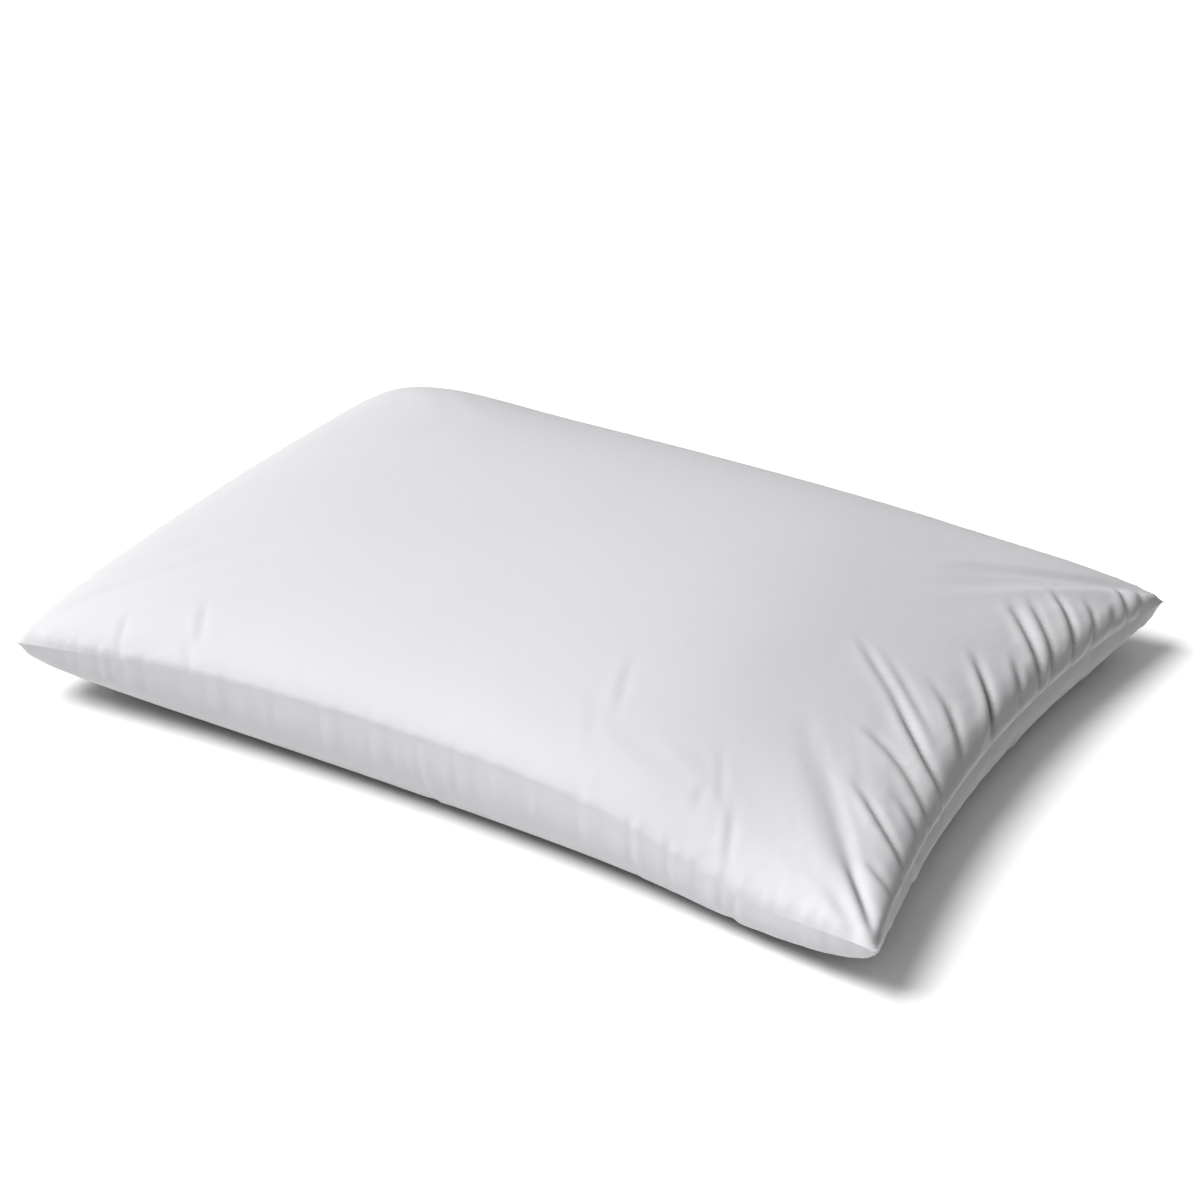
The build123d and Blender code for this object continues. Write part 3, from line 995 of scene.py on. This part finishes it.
def weave_group():
    """Height and tone of a plain weave, from a place on the cloth in metres."""
    tree = bpy.data.node_groups.new("plain_weave", "ShaderNodeTree")
    face = tree.interface
    face.new_socket("Place", in_out="INPUT", socket_type="NodeSocketVector")
    for name, value in (("Yarns per metre", 1800.0), ("Slubs", 0.3)):
        face.new_socket(name, in_out="INPUT", socket_type="NodeSocketFloat").default_value = value
    for name in ("Height", "Tone"):
        face.new_socket(name, in_out="OUTPUT", socket_type="NodeSocketFloat")
    into, out = tree.nodes.new("NodeGroupInput"), tree.nodes.new("NodeGroupOutput")
    split = tree.nodes.new("ShaderNodeSeparateXYZ")
    tree.links.new(into.outputs["Place"], split.inputs[0])
    turns = calc(tree, "MULTIPLY", into.outputs["Yarns per metre"], math.pi)
    warp = calc(tree, "SINE", calc(tree, "MULTIPLY", split.outputs[0], turns))
    weft = calc(tree, "SINE", calc(tree, "MULTIPLY", split.outputs[1], turns))
    over = calc(tree, "MULTIPLY", warp, weft)
    slubs = []
    for stretch in ((90, 1500, 1), (1500, 90, 1)):
        drawn = new_node(tree, "ShaderNodeMapping")
        drawn.inputs["Scale"].default_value = stretch
        tree.links.new(into.outputs["Place"], drawn.inputs["Vector"])
        speck = tree.nodes.new("ShaderNodeTexNoise")
        speck.inputs["Scale"].default_value = 1
        speck.inputs["Detail"].default_value = 2
        tree.links.new(drawn.outputs[0], speck.inputs["Vector"])
        slubs.append(calc(tree, "SUBTRACT", speck.outputs[0], 0.5))
    both = calc(tree, "MULTIPLY", calc(tree, "ADD", *slubs), into.outputs["Slubs"])
    height = calc(tree, "ADD", calc(tree, "MULTIPLY", over, 0.5), both)
    tree.links.new(height, out.inputs["Height"])
    tree.links.new(calc(tree, "ADD", calc(tree, "MULTIPLY", over, 0.1), both), out.inputs["Tone"])
    return tree


plain_weave = weave_group()
print("weave group:", len(plain_weave.nodes), "nodes")

# %% [markdown]
# ## The finishes
# All four are white and matt, and differ in their small detail. The ticking has the weave, a very
# slight unevenness of tone and tiny wrinkles; the ribbon has a finer weave and a soft gloss; the
# thread has a twist; and the fibre has strands. A white that is too bright would hide the folds,
# so the base colours stay well below 1.

# %% Cloth materials
def surface(name, colour, roughness, sheen):
    """A material with its constant values set on the shader itself."""
    material = bpy.data.materials.new(name)
    material.use_nodes = True
    shader = material.node_tree.nodes["Principled BSDF"]
    shader.inputs["Base Color"].default_value = (*colour, 1)
    shader.inputs["Roughness"].default_value = roughness
    shader.inputs["Sheen Weight"].default_value = sheen
    shader.inputs["Sheen Roughness"].default_value = 0.5
    shader.inputs["Specular IOR Level"].default_value = 0.25
    return material, material.node_tree, shader


def noise_at(tree, place, scale, detail=2.0):
    """A noise texture read at place."""
    node = tree.nodes.new("ShaderNodeTexNoise")
    node.inputs["Scale"].default_value = scale
    node.inputs["Detail"].default_value = detail
    tree.links.new(place, node.inputs["Vector"])
    return node.outputs[0]


def spread(tree, value, low, high):
    """Changes a value that runs from 0 to 1 so that it runs from low to high."""
    node = new_node(tree, "ShaderNodeMapRange")
    tree.links.new(value, node.inputs["Value"])
    node.inputs["To Min"].default_value = low
    node.inputs["To Max"].default_value = high
    return node.outputs["Result"]


def tinted(tree, shader, mask, light, dark):
    """Base Color between dark (mask 0) and light (mask 1)."""
    mix = new_node(tree, "ShaderNodeMix", data_type="RGBA")
    tree.links.new(mask, mix.inputs["Factor"])
    mix.inputs[6].default_value = (*dark, 1)
    mix.inputs[7].default_value = (*light, 1)
    tree.links.new(mix.outputs[2], shader.inputs["Base Color"])


def bumps(tree, shader, layers):
    """A chain of Bump nodes; each layer is a height, a distance in metres and a strength."""
    last = None
    for height, distance, strength in layers:
        bump = tree.nodes.new("ShaderNodeBump")
        bump.inputs["Distance"].default_value = distance
        bump.inputs["Strength"].default_value = strength
        tree.links.new(height, bump.inputs["Height"])
        if last:
            tree.links.new(last.outputs[0], bump.inputs["Normal"])
        last = bump
    tree.links.new(last.outputs[0], shader.inputs["Normal"])


def woven(name, colours, roughness, sheen, yarns, slubs, weave_bump, wrinkle):
    """A woven cloth whose pattern is the piece's UV map."""
    material, tree, shader = surface(name, colours[0], roughness, sheen)
    place = new_node(tree, "ShaderNodeUVMap", uv_map="pattern").outputs[0]
    weave = new_node(tree, "ShaderNodeGroup", node_tree=plain_weave)
    weave.inputs["Yarns per metre"].default_value = yarns
    weave.inputs["Slubs"].default_value = slubs
    tree.links.new(place, weave.inputs["Place"])
    cloudy = noise_at(tree, place, 9.0, 3.0)
    mask = calc(tree, "ADD", cloudy, weave.outputs["Tone"])
    tinted(tree, shader, mask, *colours)
    raised = calc(tree, "ADD", weave.outputs["Height"], 0.5)
    dulled = spread(tree, raised, roughness + 0.05, roughness - 0.05)
    tree.links.new(dulled, shader.inputs["Roughness"])
    crumple = noise_at(tree, place, 70.0, 4.0)
    bumps(tree, shader, [(crumple, wrinkle, 0.5), (weave.outputs["Height"], weave_bump, 0.6)])
    return material


def strands(name, colours, roughness, sheen, scale, distance):
    """A stranded finish on Object coordinates: drawn-out noise, for thread and fibre."""
    material, tree, shader = surface(name, colours[0], roughness, sheen)
    drawn = new_node(tree, "ShaderNodeMapping")
    drawn.inputs["Scale"].default_value = (scale, scale * 0.35, scale)
    drawn.inputs["Rotation"].default_value = (0.3, 0.5, 0.8)
    place = tree.nodes.new("ShaderNodeTexCoord").outputs["Object"]
    tree.links.new(place, drawn.inputs["Vector"])
    fibres = noise_at(tree, drawn.outputs[0], 1.0, 4.0)
    tinted(tree, shader, fibres, *colours)
    dulled = spread(tree, fibres, roughness - 0.08, roughness + 0.08)
    tree.links.new(dulled, shader.inputs["Roughness"])
    bumps(tree, shader, [(fibres, distance, 0.8)])
    return material


# %% [markdown]
# ## What each piece wears
# The numbers are in real units: yarns to the metre, and the heights of the weave and of the tiny
# wrinkles in metres. Each finish has a lighter and a darker colour, which its noise mixes. A piece
# has one finish, so its old material slots are cleared first.

# %% Finishes for the pieces
TICKING_COLOURS = (0.770, 0.768, 0.782), (0.745, 0.742, 0.757)
LABEL_COLOURS = (0.86, 0.86, 0.85), (0.78, 0.78, 0.77)
THREAD_COLOURS = (0.78, 0.78, 0.76), (0.58, 0.58, 0.57)
FIBRE_COLOURS = (0.90, 0.90, 0.88), (0.72, 0.72, 0.70)
ticking_finish = woven(
    "white_ticking",
    TICKING_COLOURS,
    roughness=0.85,
    sheen=0.08,
    yarns=1800,
    slubs=0.35,
    weave_bump=0.00005,
    wrinkle=0.00025,
)
label_finish = woven(
    "satin_ribbon",
    LABEL_COLOURS,
    roughness=0.42,
    sheen=0.15,
    yarns=2600,
    slubs=0.15,
    weave_bump=0.00004,
    wrinkle=0.0001,
)
thread_finish = strands(
    "white_thread", THREAD_COLOURS, roughness=0.55, sheen=0.2, scale=5200, distance=0.00006
)
fibre_finish = strands(
    "carded_fibre", FIBRE_COLOURS, roughness=0.95, sheen=0.4, scale=420, distance=0.0012
)
wearing = (
    (ticking_finish, (upper, lower)),
    (label_finish, (label,)),
    (thread_finish, (needle, bobbin, edging, closing_above, closing_below)),
    (fibre_finish, (fill,)),
)
for finish, pieces_of_it in wearing:
    for piece in pieces_of_it:
        piece.data.materials.clear()
        piece.data.materials.append(finish)
print("finishes:", [finish.name for finish, _ in wearing])

# %% [markdown]
# ## A white floor
# The pillow lies on a plain white floor, which is so large that its far edge can't be seen.

# %% The floor
FLOOR_HALF = 60
FLOOR_WHITE = (0.72, 0.72, 0.72, 1)

bm = bmesh.new()
bmesh.ops.create_grid(bm, x_segments=1, y_segments=1, size=FLOOR_HALF)
floor_mesh = bpy.data.meshes.new("floor")
bm.to_mesh(floor_mesh)
bm.free()
floor = bpy.data.objects.new("floor", floor_mesh)
bpy.context.scene.collection.objects.link(floor)
paint = bpy.data.materials.new("floor_paint")
paint.use_nodes = True
paint_shader = paint.node_tree.nodes["Principled BSDF"]
paint_shader.inputs["Base Color"].default_value = FLOOR_WHITE
paint_shader.inputs["Roughness"].default_value = 0.9
floor_mesh.materials.append(paint)
print("floor:", 2 * FLOOR_HALF, "m square")

# %% [markdown]
# ## Soft light
# One broad light comes from the left, a little from the front, and above, so the right end and the
# back fall into soft shade. The world looks white to the camera but gives only a faint, even light,
# so that the creases keep their contrast. A second broad light reaches the floor alone, by light
# linking, and thins the pillow's shadow.

# %% World and lights
WORLD_LIGHT = 0.07

world = bpy.data.worlds.new("studio")
bpy.context.scene.world = world
world.use_nodes = True
sky = world.node_tree.nodes["Background"]
sky.inputs["Color"].default_value = (1, 1, 1, 1)
seen = world.node_tree.nodes.new("ShaderNodeLightPath").outputs["Is Camera Ray"]
brightness = calc(world.node_tree, "ADD", seen, WORLD_LIGHT)
world.node_tree.links.new(brightness, sky.inputs["Strength"])


def soft_light(name, source, width, strength, only=None):
    """A broad, even light from the direction source, width degrees wide; only names its target."""
    lamp = bpy.data.lights.new(name, "SUN")
    lamp.angle = math.radians(width)
    lamp.energy = strength
    obj = bpy.data.objects.new(name, lamp)
    obj.rotation_euler = Vector(source).to_track_quat("Z", "Y").to_euler()
    bpy.context.scene.collection.objects.link(obj)
    if only:
        obj.light_linking.receiver_collection = bpy.data.collections.new(name)
        obj.light_linking.receiver_collection.objects.link(only)


soft_light("key", (-0.60, -0.37, 1.08), 35, 3.72)
soft_light("floor fill", (0, 0, 1), 150, 1.7, only=floor)
print("lights:", [lamp.name for lamp in bpy.data.lights])

# %% [markdown]
# ## The camera
# The camera looks down at the front right corner from about 30 degrees above and 31 degrees to the
# right, through a long lens, so the far side is only a little smaller than the near one. The
# standard view keeps white white, and a gamma below 1 deepens the mid tones, so that the top of the
# pillow still has tone beside the white floor.

# %% Camera and view
AZIMUTH, ELEVATION, DISTANCE = math.radians(30.87), math.radians(30.23), 1.8823
AIM = Vector((0, 0, 0.0583))
camera = bpy.data.cameras.new("camera")
camera.sensor_width = 36
camera.lens = 78.06
camera.shift_x = 0.0004
camera.shift_y = 0.0018
camera_object = bpy.data.objects.new("camera", camera)
back = Vector(
    (
        math.sin(AZIMUTH) * math.cos(ELEVATION),
        -math.cos(AZIMUTH) * math.cos(ELEVATION),
        math.sin(ELEVATION),
    )
)
camera_object.location = AIM + DISTANCE * back
camera_object.rotation_euler = (-back).to_track_quat("-Z", "Y").to_euler()
bpy.context.scene.collection.objects.link(camera_object)
bpy.context.scene.camera = camera_object
bpy.context.scene.view_settings.view_transform = "Standard"
bpy.context.scene.view_settings.gamma = 0.70
print("camera at:", [round(c, 3) for c in camera_object.location])
